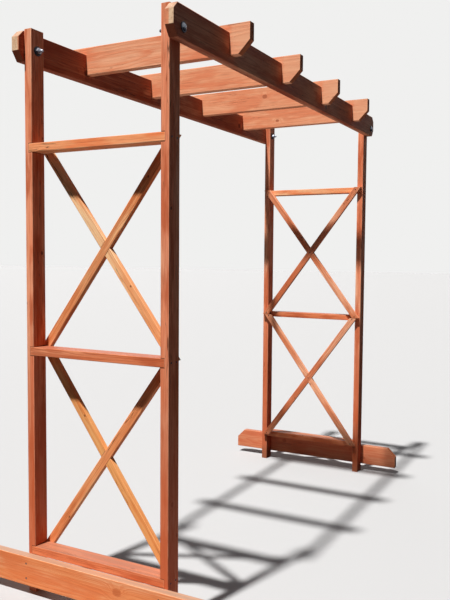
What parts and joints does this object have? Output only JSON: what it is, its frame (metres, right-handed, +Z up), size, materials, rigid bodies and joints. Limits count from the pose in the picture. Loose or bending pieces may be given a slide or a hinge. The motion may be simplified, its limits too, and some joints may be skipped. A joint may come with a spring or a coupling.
{
  "type": "wooden pergola",
  "caption": "Free-standing timber garden pergola: two cross-braced side panels on base boards, joined by bolted long beams with notched cross rafters.",
  "frame": {"origin": "on the ground, at the middle of the footprint", "axes": "+X along the beams from the left panel to the right panel, +Y along the rafters from front to back, the way people walk through, +Z up"},
  "size_m": [2.345, 1.1, 2.25],
  "materials": {
    "post_timber": "oil-stained, satin",
    "rail_timber": "oil-stained, satin",
    "brace_timber": "oil-stained, satin",
    "board_timber": "oil-stained, satin",
    "beam_timber": "oil-stained, satin",
    "rafter_timber": "oil-stained, satin",
    "bolt_steel": "galvanised, dull"
  },
  "bodies": {
    "root": {"post_left_front": "post_timber", "post_left_back": "post_timber", "post_right_front": "post_timber", "post_right_back": "post_timber", "rail_left_bottom": "rail_timber", "rail_left_middle": "rail_timber", "rail_left_top": "rail_timber", "rail_right_bottom": "rail_timber", "rail_right_middle": "rail_timber", "rail_right_top": "rail_timber", "brace_left_upper_to_front": "brace_timber", "brace_left_upper_to_back": "brace_timber", "brace_left_lower_to_front": "brace_timber", "brace_left_lower_to_back": "brace_timber", "brace_right_upper_to_front": "brace_timber", "brace_right_upper_to_back": "brace_timber", "brace_right_lower_to_front": "brace_timber", "brace_right_lower_to_back": "brace_timber", "base_board_left": "board_timber", "base_board_right": "board_timber", "beam_front": "beam_timber", "beam_back": "beam_timber", "rafter_1": "rafter_timber", "rafter_2": "rafter_timber", "rafter_3": "rafter_timber", "rafter_4": "rafter_timber", "bolt_left_front": "bolt_steel", "bolt_left_back": "bolt_steel", "bolt_right_front": "bolt_steel", "bolt_right_back": "bolt_steel"}
  },
  "joints": []
}
